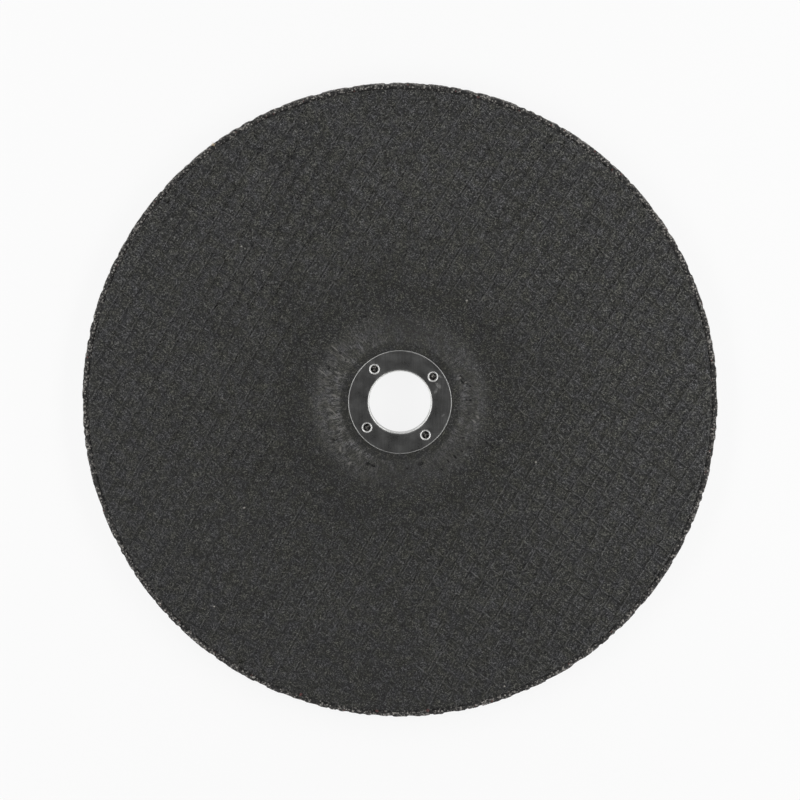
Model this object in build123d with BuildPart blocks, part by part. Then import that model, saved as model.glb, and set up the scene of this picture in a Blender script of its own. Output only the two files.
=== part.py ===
from build123d import *
from math import atan2, cos, degrees, radians, sin, sqrt, tan
import os

# A depressed center grinding disc, 230 x 6 x 22.23 mm.
# Origin on the axis, in the plane of the working face that it lies on.
# +Z is the side of the raised hub, which goes against the grinder's flange.

# Wheel
wheel_diameter = 230.0
wheel_thickness = 6.0
hub_offset = 4.6
hub_top_diameter = 43.4
hub_foot_diameter = 62.0
hub_edge_radius = 1.2
hub_foot_radius = 10.0
recess_floor_radius = 2.0
recess_mouth_radius = 3.0
rim_band_width = 1.75
rim_edge_chamfer = 0.3

# Net facing, let into the wheel's hub side
facing_thickness = 0.5
facing_clamped_thickness = 0.2
rim_groove_width = 0.45
bond_line = 0.02

# Yarns of the net that stand out of the facing
yarn_pitch = 5.34
yarn_direction = 58.8
yarn_base_width = 1.5
yarn_crest_width = 0.5
yarn_height = 0.15
yarn_start_from_hub_foot = 5.0
yarn_end_margin = 0.6

# Steel centre ring
bore_diameter = 22.23
ring_sheet = 0.5
ring_diameter = 37.46
ring_bend_radius = 0.4
ring_bend_turns = [0, 30, 60, 90]
ring_edge_chamfer = 0.15
collar_end_gap = 0.4
ring_clearance = 0.05

# Staking holes, pierced down through the ring's flange
stake_count = 4
stake_from_bore = 3.935
stake_angle = 37.7
stake_hole_diameter = 2.5
stake_lead_in = 0.7
stake_wall = 0.3
stake_reach = 0.9

# Sizes that follow
wheel_radius = wheel_diameter / 2
hub_top_radius = hub_top_diameter / 2
hub_foot_corner_radius = hub_foot_diameter / 2
face_z = wheel_thickness
hub_z = wheel_thickness + hub_offset
slope_angle = atan2(hub_offset, hub_foot_corner_radius - hub_top_radius)
pocket_radius = wheel_radius - rim_band_width
facing_radius = pocket_radius - rim_groove_width
pocket_depth = facing_thickness + bond_line
seat_z = hub_z - pocket_depth
flange_bottom_z = seat_z + bond_line + facing_clamped_thickness
flange_top_z = flange_bottom_z + ring_sheet
bore_radius = bore_diameter / 2
ring_radius = ring_diameter / 2
collar_radius = bore_radius + ring_sheet
collar_end_z = hub_offset + collar_end_gap
wheel_bore_radius = collar_radius + ring_clearance
ring_bend = ring_bend_radius + ring_sheet
bore_chamfer = ring_bend_radius + ring_clearance
stake_circle_radius = bore_radius + stake_from_bore
stake_hole_radius = stake_hole_diameter / 2
stake_mouth_radius = stake_hole_radius + stake_lead_in
stake_end_z = flange_bottom_z - stake_reach
stake_pit_radius = stake_mouth_radius + ring_clearance
stake_plug_radius = stake_hole_radius - ring_clearance
stake_pit_bottom_z = stake_end_z - ring_clearance


def dish_points(depth, inner_radius, outer_radius):
    """Corners of the hub's section, on a line that runs at a depth under the facing's surface."""
    corner_shift = depth * tan(slope_angle / 2)
    return [
        (inner_radius, hub_z - depth),
        (hub_top_radius - corner_shift, hub_z - depth),
        (hub_foot_corner_radius - corner_shift, face_z - depth),
        (outer_radius, face_z - depth),
    ]


def bend_point(turn):
    """The point of the bend between bore and flange where the sheet has turned by so many degrees."""
    across = ring_bend * (1 - cos(radians(turn)))
    down = ring_bend * (1 - sin(radians(turn)))
    return (bore_radius + across, flange_top_z - down)


def stake_places():
    """The places of the staking holes, on their circle about the axis."""
    return PolarLocations(stake_circle_radius, stake_count, start_angle=stake_angle)


# The moulded abrasive body, with the shallow pocket that the facing is pressed into.
# At each staking hole the lip sinks into a round groove, and the abrasive fills the lip.
with BuildPart() as abrasive_wheel:
    with BuildSketch(Plane.XZ):
        with BuildLine():
            pocket = Polyline(*dish_points(pocket_depth, wheel_bore_radius, pocket_radius))
            Polyline(pocket @ 1, (pocket_radius, face_z), (wheel_radius, face_z), (wheel_radius, 0))
            working_side = FilletPolyline(
                (wheel_radius, 0),
                (hub_foot_corner_radius, 0),
                (hub_top_radius, hub_offset),
                (wheel_bore_radius, hub_offset),
                radius=[recess_mouth_radius, recess_floor_radius],
            )
            Line(working_side @ 1, pocket @ 0)
        make_face()
    revolve(axis=Axis.Z)
    rings = abrasive_wheel.edges().filter_by(GeomType.CIRCLE)
    chamfer(rings.filter_by(lambda ring: ring.radius > pocket_radius + bond_line), rim_edge_chamfer)
    rings = abrasive_wheel.edges().filter_by(GeomType.CIRCLE)
    bore_rings = rings.filter_by(lambda ring: ring.radius < wheel_bore_radius + bond_line)
    chamfer(bore_rings.sort_by(Axis.Z)[-1], bore_chamfer)
    with BuildSketch(Plane.XY.offset(seat_z)):
        with stake_places():
            Circle(stake_pit_radius)
            Circle(stake_plug_radius, mode=Mode.SUBTRACT)
    extrude(amount=stake_pit_bottom_z - seat_z, mode=Mode.SUBTRACT)
abrasive_wheel.part.label = "abrasive_wheel"

# The yarns of one direction of the net: low ridges on the flat of the facing, clear of the hub's foot
yarn_start_radius = hub_foot_corner_radius + yarn_start_from_hub_foot
yarn_end_radius = facing_radius - yarn_end_margin
yarn_reach = int((yarn_end_radius - yarn_base_width) / yarn_pitch)
yarn_taper = degrees(atan2((yarn_base_width - yarn_crest_width) / 2, yarn_height))
yarn_plane = Plane(origin=(0, 0, face_z), x_dir=(cos(radians(yarn_direction)), sin(radians(yarn_direction)), 0))
with BuildPart() as yarn_ridges:
    with BuildSketch(yarn_plane):
        for yarn in range(-yarn_reach, yarn_reach + 1):
            across = yarn * yarn_pitch
            end = sqrt(yarn_end_radius**2 - across**2)
            start = sqrt(max(yarn_start_radius**2 - across**2, 0))
            if start > 0:
                with Locations(((start + end) / 2, across), (-(start + end) / 2, across)):
                    Rectangle(end - start, yarn_base_width)
            else:
                with Locations((0, across)):
                    Rectangle(2 * end, yarn_base_width)
    extrude(amount=yarn_height, taper=yarn_taper)

# The facing: one ply of net and paper over the hub and the flat, clamped thinner under the ring
facing_bore_radius = wheel_bore_radius + bore_chamfer
facing_step_radius = ring_radius + ring_clearance
with BuildPart() as net_facing:
    with BuildSketch(Plane.XZ):
        with BuildLine():
            face_line = FilletPolyline(
                *dish_points(0, facing_step_radius, facing_radius),
                radius=[hub_edge_radius, hub_foot_radius],
            )
            glue_line = Polyline(*dish_points(facing_thickness, facing_bore_radius, facing_radius))
            Line(face_line @ 1, glue_line @ 1)
            Polyline(
                face_line @ 0,
                (facing_step_radius, flange_bottom_z),
                (facing_bore_radius, flange_bottom_z),
                glue_line @ 0,
            )
        make_face()
    revolve(axis=Axis.Z)
    add(yarn_ridges.part)
    with BuildSketch(Plane.XY.offset(flange_bottom_z)):
        with stake_places():
            Circle(stake_pit_radius)
    extrude(amount=-facing_thickness, mode=Mode.SUBTRACT)
net_facing.part.label = "net_facing"

# The lip of one staking hole, drawn down out of the flange, on its own axis
with BuildPart() as stake_lip:
    with BuildSketch(Plane.XZ):
        with BuildLine():
            lip_inside = Polyline(
                (stake_hole_radius, stake_end_z),
                (stake_hole_radius, flange_top_z - ring_sheet),
                (stake_mouth_radius, flange_top_z),
            )
            lip_outside = Polyline(
                (stake_hole_radius + stake_wall, stake_end_z),
                (stake_hole_radius + stake_wall, flange_bottom_z),
                (stake_mouth_radius, flange_bottom_z),
            )
            Line(lip_inside @ 0, lip_outside @ 0)
            Line(lip_inside @ 1, lip_outside @ 1)
        make_face()
    revolve(axis=Axis.Z)

# The pressed steel centre ring: flange, bend and collar, staked at its pierced holes
with BuildPart() as centre_ring:
    with BuildSketch(Plane.XZ):
        with BuildLine():
            ring_inside = Polyline(
                (bore_radius, collar_end_z),
                *[bend_point(turn) for turn in ring_bend_turns],
                (ring_radius, flange_top_z),
            )
            ring_outside = Polyline(
                (collar_radius, collar_end_z),
                (collar_radius, flange_bottom_z - ring_bend_radius),
                (collar_radius + ring_bend_radius, flange_bottom_z),
                (ring_radius, flange_bottom_z),
            )
            Line(ring_inside @ 0, ring_outside @ 0)
            Line(ring_inside @ 1, ring_outside @ 1)
        make_face()
    revolve(axis=Axis.Z)
    rings = centre_ring.edges().filter_by(GeomType.CIRCLE)
    flange_rings = rings.filter_by(lambda ring: ring.radius > ring_radius - bond_line)
    chamfer(flange_rings.sort_by(Axis.Z)[-1], ring_edge_chamfer)
    with BuildSketch(Plane.XY.offset(flange_bottom_z)):
        with stake_places():
            Circle(stake_mouth_radius)
    extrude(amount=ring_sheet, mode=Mode.SUBTRACT)
    with stake_places():
        add(stake_lip.part)
centre_ring.part.label = "centre_ring"

os.makedirs("parts", exist_ok=True)
export_step(abrasive_wheel.part, "parts/abrasive_wheel.step")
export_step(net_facing.part, "parts/net_facing.step")
export_step(centre_ring.part, "parts/centre_ring.step")
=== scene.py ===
from functools import partial
from math import atan2, cos, pi, radians, sin, tan

import bpy
import numpy as np
from bpy.props import FloatProperty, FloatVectorProperty, PointerProperty
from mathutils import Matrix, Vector


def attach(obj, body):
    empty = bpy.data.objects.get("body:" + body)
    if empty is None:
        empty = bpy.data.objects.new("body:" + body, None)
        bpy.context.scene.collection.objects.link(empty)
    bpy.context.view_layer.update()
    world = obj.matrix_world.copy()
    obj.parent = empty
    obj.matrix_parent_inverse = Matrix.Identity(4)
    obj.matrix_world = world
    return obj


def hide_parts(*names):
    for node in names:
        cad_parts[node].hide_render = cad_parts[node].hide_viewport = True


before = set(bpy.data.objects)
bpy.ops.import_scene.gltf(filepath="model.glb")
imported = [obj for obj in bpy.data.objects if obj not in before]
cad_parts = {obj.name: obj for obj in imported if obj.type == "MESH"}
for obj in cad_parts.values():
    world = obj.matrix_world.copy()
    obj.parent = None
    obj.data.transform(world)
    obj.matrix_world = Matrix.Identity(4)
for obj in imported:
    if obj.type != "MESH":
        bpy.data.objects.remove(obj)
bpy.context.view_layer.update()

bl_info = {
    "name": "Depressed Center Grinding Disc",
    "version": (1, 0, 0),
    "blender": (4, 5, 0),
    "location": "View3D > Sidebar > Grinding Disc",
    "description": "A resin-bonded grinding disc with a net facing and a staked steel centre ring",
    "category": "Add Mesh",
}

MM = 0.001

# Sizes of the disc in millimetres, as the CAD has them. The origin is on the axis, in the working face.
WHEEL_RADIUS = 115.0
FACE_Z = 6.0
HUB_Z = 10.6
HUB_TOP_RADIUS = 21.7
HUB_FOOT_RADIUS = 31.0
HUB_OFFSET = 4.6
HUB_EDGE_FILLET = 1.2
HUB_FOOT_FILLET = 10.0
RECESS_FLOOR_FILLET = 2.0
RECESS_MOUTH_FILLET = 3.0
POCKET_RADIUS = 113.25
POCKET_DEPTH = 0.52
FACING_RADIUS = 112.8
FACING_THICKNESS = 0.5
FACING_BORE = 12.115
FACING_STEP = 18.78
CLAMPED_Z = 10.3
SEAT_Z = 10.08
WHEEL_BORE = 11.665
RING_TOP_Z = 10.8
RING_RADIUS = 18.73
RING_SHEET = 0.5
BORE_RADIUS = 11.115
COLLAR_END_Z = 5.0
STAKE_CIRCLE = 15.05
STAKE_ANGLE = 37.7
STAKE_HOLE = 1.25
STAKE_MOUTH = 1.95
STAKE_WALL = 0.3
STAKE_END_Z = 9.4
PIT_RADIUS = 2.0
PIT_FLOOR_Z = 9.35
PLUG_RADIUS = 1.2

# Sizes in millimetres that only the look has: the ring's rolled outer edge, and its bend, which is tighter
# than the CAD's three chords
EDGE_WIDTH = 0.24
RING_BEND = 0.65
# where the flat part of the net starts outside the hub, on both sides, how far from the axis its yarns are
# laid out, the width of its cut edge, and the depth of its imprint in the working face
NET_START = 36.0
NET_REACH = 120.0
CUT_WIDTH = 0.5
IMPRINT_DEPTH = 0.12
# half the width of a yarn at its foot, and the width of its flank
WARP_HALF = 0.66
WARP_FLANK = 0.24
WEFT_HALF = 0.48
WEFT_FLANK = 0.28
# the width of the facing's grit as it is drawn, and the distance between the points of the flat parts
GRIT_SIZE = 0.32
PLATEAU_GRID = 0.5
SEAT_GRID = 0.6
RING_GRID = 0.35

# Shares: faces that a grain of abrasive shows, and how far a mark reaches with its soft edge
FACES_PER_GRAIN = 1.45
MARK_REACH = 1.45

# Seeds of the random shapes, of which a net takes four in a row, and the cells of their lattice
NET_SEED = 11
IMPRINT_SEED = 31
RESIN_SEED = 17
GRIT_SEED = 7
RIPPLE_SEED = 41
CUT_SEED = 23
RIM_SEED = 3
CRUMB_SEED = 4
NOTCH_SEED = 5
FILL_SEED = 6
DUST_SEED = 8
CHIP_SEED = 19
NOISE_CELLS = 509

# The studio in metres: a camera far off with a long lens, two long lamps beside the disc, and a floor
CAMERA_DISTANCE = 2.5
LAMP_LENGTH = 1.0
LAMP_WIDTH = 0.16
LAMP_OUT = 0.32
LAMP_ALONG = 0.08
LAMP_UP = 0.285
FLOOR_REACH = 6.0
# millimetres of lens for each metre of distance, and of the camera's shift along the picture's height
LENS_PER_METRE = 124.5
CAMERA_SHIFT = 0.4
# how far the floor looks plain white to the camera, from 0 to 1
FLOOR_GLOW = 0.87


# ---------------------------------------------------------------- settings

def colour(code):
    """Turns an sRGB hex code into the linear red, green, blue and alpha that Blender mixes in."""
    srgb = np.array([int(code[k:k + 2], 16) for k in (1, 3, 5)]) / 255
    linear = np.where(srgb <= 0.04045, srgb / 12.92, ((srgb + 0.055) / 1.055) ** 2.4)
    return (*(float(v) for v in linear), 1.0)


def colour_property(name, description, code):
    """A colour of the panel, with its default as a hex code."""
    return FloatVectorProperty(name=name, description=description, subtype="COLOR", size=4,
                               min=0, max=1, default=colour(code))


def length_property(name, description, millimetres):
    """A length of the panel, with its default in millimetres."""
    return FloatProperty(name=name, description=description, unit="LENGTH", precision=5,
                         min=0, default=millimetres * MM)


class DiscNetSettings(bpy.types.PropertyGroup):
    """Sizes and colours of the net facing."""
    warp_pitch: length_property("Warp pitch", "Distance between the yarns that lie on top", 5.34)
    weft_pitch: length_property("Weft pitch", "Distance between the yarns that cross underneath", 4.94)
    warp_height: length_property("Warp height", "How far a warp yarn stands out of the resin", 0.135)
    weft_height: length_property("Weft height", "How far a weft yarn stands out of the resin", 0.17)
    warp_direction: FloatProperty(name="Warp direction", description="Direction that the warp yarns run in",
                                  subtype="ANGLE", default=radians(58.8))
    weft_direction: FloatProperty(name="Weft direction", description="Direction that the weft yarns run in",
                                  subtype="ANGLE", default=radians(148.0))
    resin: colour_property("Resin", "Black resin that soaks the net and its paper", "#1f1f1e")
    grit: colour_property("Grit", "Fine dust of abrasive that shows through the resin", "#7e7e79")
    hub_resin: colour_property("Hub resin", "Smoother resin on the slope of the hub", "#242423")
    hub_flakes: colour_property("Hub flakes", "Pale pulled resin and paper fibre on the slope", "#6b6a68")


class DiscAbrasiveSettings(bpy.types.PropertyGroup):
    """Sizes and colours of the bare abrasive."""
    grain_size: length_property("Grain size", "Width of one abrasive grain", 0.85)
    rim_roughness: length_property("Rim roughness", "Depth of the broken surface of the rim", 0.36)
    bond: colour_property("Bond", "Dark resin bond between the grains", "#2b2a29")
    grain: colour_property("Grain", "Grey fused alumina grain", "#afaba5")
    red_grain: colour_property("Red grain", "The few grains of reddish brown", "#6a4340")


class DiscRingSettings(bpy.types.PropertyGroup):
    """Colours of the steel centre ring."""
    steel: colour_property("Steel", "Pressed sheet steel", "#a2a2a1")
    burnished: colour_property("Burnished steel", "Steel that the tool rubbed: lips, bend and edge",
                               "#e0e0de")
    fibre: colour_property("Fibre", "Loose glass fibre at the rim", "#d8c8ae")


class DiscStudioSettings(bpy.types.PropertyGroup):
    """Light and camera of the studio."""
    left_light: FloatProperty(name="Left light", description="Power of the soft light on the left",
                              unit="POWER", min=0, default=1.25)
    right_light: FloatProperty(name="Right light", description="Power of the soft light on the right",
                               unit="POWER", min=0, default=1.41)
    floor: colour_property("Floor", "White studio floor", "#f4f4f4")
    tilt: FloatProperty(name="Camera tilt", description="Tilt of the camera from straight above",
                        subtype="ANGLE", default=radians(4.4))


# ---------------------------------------------------------------- surfaces

class Shell:
    """A closed skin in the making: points in millimetres, with quads and triangles between them.

    A skin is built as a line that is carried round an axis. Where the line runs outwards on top, down the
    outside, inwards underneath and up the inside, every face points out of the material.
    """

    def __init__(self):
        self.blocks = []
        self.tints = []
        self.count = 0
        self.quads = []
        self.triangles = []

    def add(self, points, tint=0.0):
        """Adds points, an array whose last axis is x, y, z, and returns their numbers in the array's shape.

        tint, a number or one for each point, is kept in the mesh, where the material reads it.
        """
        flat = np.asarray(points, float).reshape(-1, 3)
        numbers = np.arange(self.count, self.count + len(flat))
        self.blocks.append(flat)
        self.tints.append(np.broadcast_to(tint, np.shape(points)[:-1]).ravel())
        self.count += len(flat)
        return numbers.reshape(np.shape(points)[:-1])

    def points(self):
        """All points so far, as one array."""
        self.blocks = [np.vstack(self.blocks)]
        return self.blocks[0]

    def weave(self, rows):
        """Quads between each closed row of point numbers and the next row."""
        after = np.roll(rows, -1, axis=1)
        self.quads.append(np.stack([rows[:-1], rows[1:], after[1:], after[:-1]], axis=-1).reshape(-1, 4))

    def strip(self, first, last, centre=(0.0, 0.0)):
        """Triangles between two closed rows with different counts: the edges of both rows, taken in order
        of their angle about the centre, each get the point of the other row that stands there."""
        points = self.points()
        rows, middles = [], []
        for row in (first, last):
            angle = np.arctan2(points[row, 1] - centre[1], points[row, 0] - centre[0])
            order = np.argsort(angle)
            row, angle = row[order], angle[order]
            rows.append(row)
            middles.append((angle + np.append(angle[1:], angle[0] + 2 * pi)) / 2)
        a, b = rows
        opposite = np.searchsorted(middles[1], middles[0], side="left") % len(b)
        self.triangles.append(np.stack([a, b[opposite], np.roll(a, -1)], axis=-1))
        opposite = np.searchsorted(middles[0], middles[1], side="right") % len(a)
        self.triangles.append(np.stack([b, np.roll(b, -1), a[opposite]], axis=-1))

    def ring(self, radius, height, count, centre=(0.0, 0.0)):
        """A closed row of points on a circle."""
        angle = (np.arange(count) + 0.5) / count * 2 * pi - pi
        return self.add(np.stack([centre[0] + radius * np.cos(angle), centre[1] + radius * np.sin(angle),
                                  np.full(count, float(height))], axis=-1))

    def sweep(self, first, section, centre=(0.0, 0.0), last=None, relief=None, tint=0.0):
        """Carries a closed row through the radii and heights of a section, each point at its own angle.

        relief, a function of angle, radius and height, gives how far the points move in radius and height.
        tint is one number, or a column of one for each row.
        """
        start = self.points()[first]
        angle = np.arctan2(start[:, 1] - centre[1], start[:, 0] - centre[0])[None, :]
        section = np.asarray(section, float)
        radius = np.repeat(section[:, :1], angle.size, axis=1)
        height = np.repeat(section[:, 1:2], angle.size, axis=1)
        if relief:
            out, up = relief(np.repeat(angle, len(section), axis=0), radius, height)
            radius, height = radius + out, height + up
        rows = self.add(np.stack([centre[0] + radius * np.cos(angle), centre[1] + radius * np.sin(angle),
                                  height], axis=-1), tint)
        chain = [first[None, :], rows] + ([last[None, :]] if last is not None else [])
        self.weave(np.vstack(chain))
        return rows

    def cap(self, row, height, centre):
        """Closes a row with a fan of triangles about a point on its axis."""
        point = self.add(np.array([[centre[0], centre[1], height]]))
        self.triangles.append(np.stack([np.repeat(point, len(row)), row, np.roll(row, -1)], axis=-1))

    def sheet(self, plan, height, rims, clearance, up=True, tint=0.0):
        """A sheet of squares between round rims.

        plan holds x and y where the lines of a grid cross, height the heights there. Each rim is a closed
        row with its centre, its radius and a side, 1 where the sheet lies inside it and -1 outside. A square
        stays where all its corners keep the clearance from every rim, and a strip of triangles joins the
        sheet's stepped edge to each rim.
        """
        gaps = np.stack([side * (radius - np.linalg.norm(plan - np.array(centre), axis=-1))
                         for row, centre, radius, side in rims])
        clear = gaps.min(axis=0) > clearance
        kept = clear[:-1, :-1] & clear[1:, :-1] & clear[:-1, 1:] & clear[1:, 1:]
        around = np.zeros(clear.shape, int)
        for rows in (slice(None, -1), slice(1, None)):
            for columns in (slice(None, -1), slice(1, None)):
                around[rows, columns] += kept
        used = around > 0
        numbers = np.full(clear.shape, -1)
        points = np.concatenate([plan, np.broadcast_to(height, clear.shape)[..., None]], axis=-1)
        numbers[used] = self.add(points[used], np.broadcast_to(tint, clear.shape)[used])
        corners = [numbers[:-1, :-1], numbers[1:, :-1], numbers[1:, 1:], numbers[:-1, 1:]]
        across, along = plan[1, 0] - plan[0, 0], plan[0, 1] - plan[0, 0]
        if (across[0] * along[1] - across[1] * along[0] > 0) != up:
            corners.reverse()
        self.quads.append(np.stack(corners, axis=-1)[kept])
        nearest = gaps.argmin(axis=0)
        for number, (row, centre, radius, side) in enumerate(rims):
            edge = numbers[used & (around < 4) & (nearest == number)]
            pair = (edge, row) if (side > 0) == up else (row, edge)
            self.strip(*pair, centre)

    def piece(self, name, node, slot, material, sharp):
        """Makes the Blender object, which rides on the disc's only body and replaces a CAD node, if any.

        Edges that turn by more than the angle sharp, in degrees, stay sharp.
        """
        corners = np.concatenate([np.concatenate(self.quads).ravel(), np.concatenate(self.triangles).ravel()])
        quad_count = sum(len(block) for block in self.quads)
        triangle_count = sum(len(block) for block in self.triangles)
        starts = np.concatenate([np.arange(quad_count) * 4, quad_count * 4 + np.arange(triangle_count) * 3])
        mesh = bpy.data.meshes.new(name)
        mesh.vertices.add(self.count)
        mesh.vertices.foreach_set("co", (self.points() * MM).astype(np.float32).ravel())
        mesh.loops.add(len(corners))
        mesh.loops.foreach_set("vertex_index", corners.astype(np.int32))
        mesh.polygons.add(len(starts))
        mesh.polygons.foreach_set("loop_start", starts.astype(np.int32))
        mesh.update(calc_edges=True)
        if mesh.validate():
            raise RuntimeError(f"{name} has faces that can't be used")
        mesh.attributes.new("tint", "FLOAT", "POINT").data.foreach_set(
            "value", np.concatenate(self.tints).astype(np.float32))
        mesh.shade_smooth()
        mesh.set_sharp_from_angle(angle=radians(sharp))
        mesh.materials.append(material)
        piece = bpy.data.objects.new(name, mesh)
        bpy.context.scene.collection.objects.link(piece)
        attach(piece, "root")
        if node:
            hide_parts(node)
        print(name, 2 * quad_count + triangle_count, "triangles")


def rounded_line(corners, fillets, step):
    """A line through corners of radius and height, with an arc of its own radius at each inner corner.

    An arc touches both sides at its radius over the tangent of half the angle between them. Straight runs
    get a point about every step, and arcs one at least every half step.
    """
    corners = [np.array(corner, float) for corner in corners]
    runs, start = [], corners[0]
    for before, corner, after, fillet in zip(corners, corners[1:], corners[2:], fillets):
        back, ahead = before - corner, after - corner
        back, ahead = back / np.linalg.norm(back), ahead / np.linalg.norm(ahead)
        half = np.arccos(np.clip(back @ ahead, -1, 1)) / 2
        reach = fillet / tan(half)
        middle = corner + (back + ahead) / np.linalg.norm(back + ahead) * fillet / sin(half)
        first, second = corner + back * reach, corner + ahead * reach
        turn = [atan2(*(point - middle)[::-1]) for point in (first, second)]
        sweep = (turn[1] - turn[0] + pi) % (2 * pi) - pi
        runs.append(straight(start, first, step))
        count = max(4, int(abs(sweep) * fillet / step * 2) + 1)
        angle = turn[0] + sweep * np.arange(count) / count
        runs.append(middle + fillet * np.stack([np.cos(angle), np.sin(angle)], axis=-1))
        start = second
    runs.append(straight(start, corners[-1], step))
    return np.vstack(runs + [corners[-1][None, :]])


def straight(start, end, step):
    """Points along a straight run about a step apart, without the last one."""
    count = max(1, int(np.ceil(np.linalg.norm(end - start) / step)))
    return start + (end - start) * (np.arange(count) / count)[:, None]


def dish_corners(depth, inner_radius, outer_radius):
    """Corners of the hub's section on a line at a depth under the facing's surface."""
    shift = depth * tan(atan2(HUB_OFFSET, HUB_FOOT_RADIUS - HUB_TOP_RADIUS) / 2)
    return [(inner_radius, HUB_Z - depth), (HUB_TOP_RADIUS - shift, HUB_Z - depth),
            (HUB_FOOT_RADIUS - shift, FACE_Z - depth), (outer_radius, FACE_Z - depth)]


def stake_centres():
    """Centres of the four staking holes, a quarter turn apart on their circle."""
    angle = radians(STAKE_ANGLE) + np.arange(4) * pi / 2
    return STAKE_CIRCLE * np.stack([np.cos(angle), np.sin(angle)], axis=-1)


def square_grid(reach, pitch):
    """Crossings of a square grid about the axis that covers a circle: whole numbers times the pitch."""
    line = np.arange(-int(reach / pitch) - 2, int(reach / pitch) + 3) * pitch
    return np.stack(np.meshgrid(line, line, indexing="ij"), axis=-1)


def noise(x, y, seed, period=NOISE_CELLS):
    """Smooth random numbers from 0 to 1: random values on a lattice of unit cells, which repeats after
    period cells in x, blended across each cell with the curve 3t2 - 2t3."""
    lattice = np.random.default_rng(seed).random((period, NOISE_CELLS))
    i, j = np.floor(x).astype(int), np.floor(y).astype(int)
    s, t = (u * u * (3 - 2 * u) for u in (x - i, y - j))
    low, high = j % NOISE_CELLS, (j + 1) % NOISE_CELLS
    near, far = (lattice[k % period, low] * (1 - t) + lattice[k % period, high] * t for k in (i, i + 1))
    return near * (1 - s) + far * s


def noise_round(angle, cells, across, seed, start=0.5):
    """Noise with a whole number of cells round the axis, so that it closes on itself. start shifts it by a
    share of a turn."""
    return noise((angle / (2 * pi) + start) * cells, across, seed, cells)


def ease(low, high, value):
    """Rises from 0 at low to 1 at high along the curve 3t2 - 2t3."""
    t = np.clip((value - low) / (high - low), 0, 1)
    return t * t * (3 - 2 * t)


def ridge(offset, half_width, flank):
    """The section of a yarn under its resin: a low crown, 1 - x2/8, on top, and a straight flank of its own
    width on each side."""
    across = np.abs(offset)
    return np.clip((half_width - across) / flank, 0, 1) * (1 - (across / half_width) ** 2 / 8)


def net(settings, warp_samples, weft_samples, seed):
    """The net as a grid whose lines follow its yarns, with the height of the yarns there and their cover,
    which is 0.95 along the top of a warp yarn, 0.6 along that of a weft yarn, 0.8 at the foot of both and 0
    between the yarns.

    Each warp yarn has the same samples across it, and so has each weft yarn. The warp bows by the square of
    the place along it, and every yarn wanders a little. Between two warp yarns a weft yarn slants by a tenth
    of its pitch and steps back under the next one. A height is the fourth root of the sum of both yarns'
    fourth powers, so the higher yarn wins and crossings stay rounded.
    """
    warp_pitch, weft_pitch = settings.warp_pitch / MM, settings.weft_pitch / MM
    warp_number, weft_number = (np.arange(-int(NET_REACH / pitch) - 1, int(NET_REACH / pitch) + 2)
                                for pitch in (warp_pitch, weft_pitch))
    warp_offset = np.tile(warp_samples, len(warp_number))[:, None]
    weft_offset = np.tile(weft_samples, len(weft_number))[None, :]
    warp_number = np.repeat(warp_number, len(warp_samples))[:, None]
    weft_number = np.repeat(weft_number, len(weft_samples))[None, :]
    u = warp_number * warp_pitch + warp_offset
    v = weft_number * weft_pitch + weft_offset
    slant = np.interp(u / warp_pitch % 1, [0, 0.13, 0.87, 1], [0, 0.055, -0.055, 0]) * weft_pitch
    bow = 2.2 * (v / 100) ** 2
    wander_u = 0.3 * (noise(v / 11, warp_number * 7.3, seed) - 0.5)
    wander_v = 0.3 * (noise(u / 9, weft_number * 5.1, seed + 1) - 0.5)
    across_warp = settings.warp_direction - pi / 2
    across_weft = settings.weft_direction - pi / 2
    basis = np.array([[cos(across_warp), sin(across_warp)], [cos(across_weft), sin(across_weft)]])
    plan = np.stack([u + bow + wander_u, v + slant + wander_v], axis=-1) @ np.linalg.inv(basis).T
    warp_cover, weft_cover = (
        np.interp(np.abs(offset), [half - flank, half, half + 0.01], [top, 0.8, 0])
        for offset, half, flank, top in ((warp_offset, WARP_HALF, WARP_FLANK, 0.95),
                                         (weft_offset, WEFT_HALF, WEFT_FLANK, 0.6)))
    warp = ridge(warp_offset, WARP_HALF, WARP_FLANK) * settings.warp_height / MM
    weft = ridge(weft_offset, WEFT_HALF, WEFT_FLANK) * settings.weft_height / MM
    warp = warp * (0.6 + 0.5 * noise(v / 4.2, warp_number * 3.7, seed + 2))
    weft = weft * (0.45 + 0.7 * noise(u / 3.1, weft_number * 4.3, seed + 3))
    return plan, (warp ** 4 + weft ** 4) ** 0.25, np.maximum(warp_cover, weft_cover)


# ---------------------------------------------------------------- materials

def add_node(tree, kind, *values, **settings):
    """Adds a node with its settings, and gives the inputs that it then has in use the values, in order.

    A socket is linked, a node is linked by its first output in use, and None leaves the input as it is.
    """
    new = tree.nodes.new("ShaderNode" + kind)
    for name, value in settings.items():
        setattr(new, name, value)
    inputs = [socket for socket in new.inputs if socket.enabled]
    for socket, value in zip(inputs, values):
        if isinstance(value, bpy.types.Node):
            value = next(output for output in value.outputs if output.enabled)
        if isinstance(value, bpy.types.NodeSocket):
            tree.links.new(value, socket)
        elif value is not None:
            socket.default_value = value
    return new


def bare_tree(owner):
    """Clears the nodes of a new material or world, and returns what adds nodes to it."""
    owner.use_nodes = True
    owner.node_tree.nodes.clear()
    return partial(add_node, owner.node_tree)


def new_material(name):
    """A material without nodes, what adds nodes to it, and its object coordinates."""
    material = bpy.data.materials.new(name)
    node = bare_tree(material)
    return material, node, node("TexCoord").outputs["Object"]


def finish_material(node, base, rough, metallic=0.0, height=None, relief=0.0):
    """Ends a material in the Principled shader. A height of 1 stands for the relief, in millimetres."""
    bump = None if height is None else node("Bump", 1.0, relief * MM, None, height)
    node("OutputMaterial", node("BsdfPrincipled", base, metallic, rough, None, None, bump))


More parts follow.
